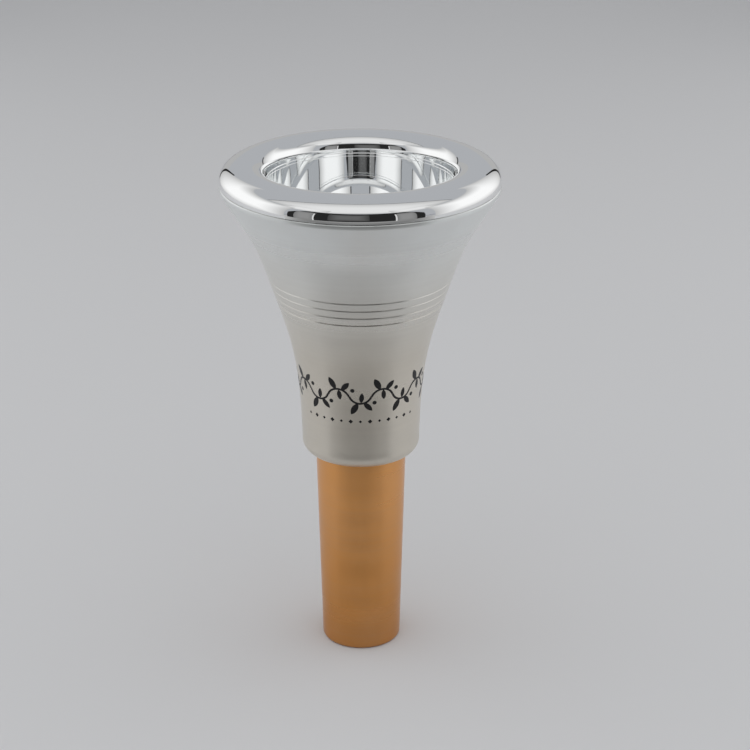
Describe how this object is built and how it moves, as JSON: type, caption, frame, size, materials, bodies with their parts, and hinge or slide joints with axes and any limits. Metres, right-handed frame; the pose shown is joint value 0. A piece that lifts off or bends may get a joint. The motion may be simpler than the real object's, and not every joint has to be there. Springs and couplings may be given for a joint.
{
  "type": "brass instrument mouthpiece",
  "caption": "Low-brass mouthpiece with a polished rim, a satin flared cup and a bronze tapered shank that unscrew from one another.",
  "frame": {"origin": "centre of the shank's small end, where the mouthpiece stands", "axes": "+Z along the bore, from the shank towards the rim; the ornament faces -Y"},
  "size_m": [0.042, 0.042, 0.079],
  "materials": {
    "rim_silver": "mirror-polished silver plate over brass",
    "cup_silver": "fine-turned satin silver plate over brass, with a polished cup inside",
    "enamel": "black enamel flush with the surface",
    "shank_bronze": "satin-turned bronze, lacquered",
    "seal_rubber": "smooth black nitrile rubber"
  },
  "bodies": {
    "shank": {"shank": "shank_bronze"},
    "shank_seal": {"shank_seal_ring": "seal_rubber"},
    "cup": {"cup_body": "cup_silver", "engraving_infill": "enamel"},
    "rim_seal": {"rim_seal_ring": "seal_rubber"},
    "rim": {"rim": "rim_silver"}
  },
  "joints": [
    {"name": "cup_thread_travel", "type": "slide", "parent": "shank", "child": "shank_seal", "axis": [0, 0, 1], "range_m": [0, 0.00625]},
    {"name": "cup_unscrew", "type": "hinge", "parent": "shank_seal", "child": "cup", "pos_m": [0, 0, 0.0394], "axis": [0, 0, 1], "range_deg": [0, 1801]},
    {"name": "rim_thread_travel", "type": "slide", "parent": "cup", "child": "rim_seal", "axis": [0, 0, 1], "range_m": [0, 0.00438]},
    {"name": "rim_unscrew", "type": "hinge", "parent": "rim_seal", "child": "rim", "pos_m": [0, 0, 0.0698], "axis": [0, 0, 1], "range_deg": [0, 1261]}
  ],
  "couplings": [
    {"joint": "cup_unscrew", "follows": "cup_thread_travel", "rad_per_m": 5026.5},
    {"joint": "rim_unscrew", "follows": "rim_thread_travel", "rad_per_m": 5026.5}
  ]
}
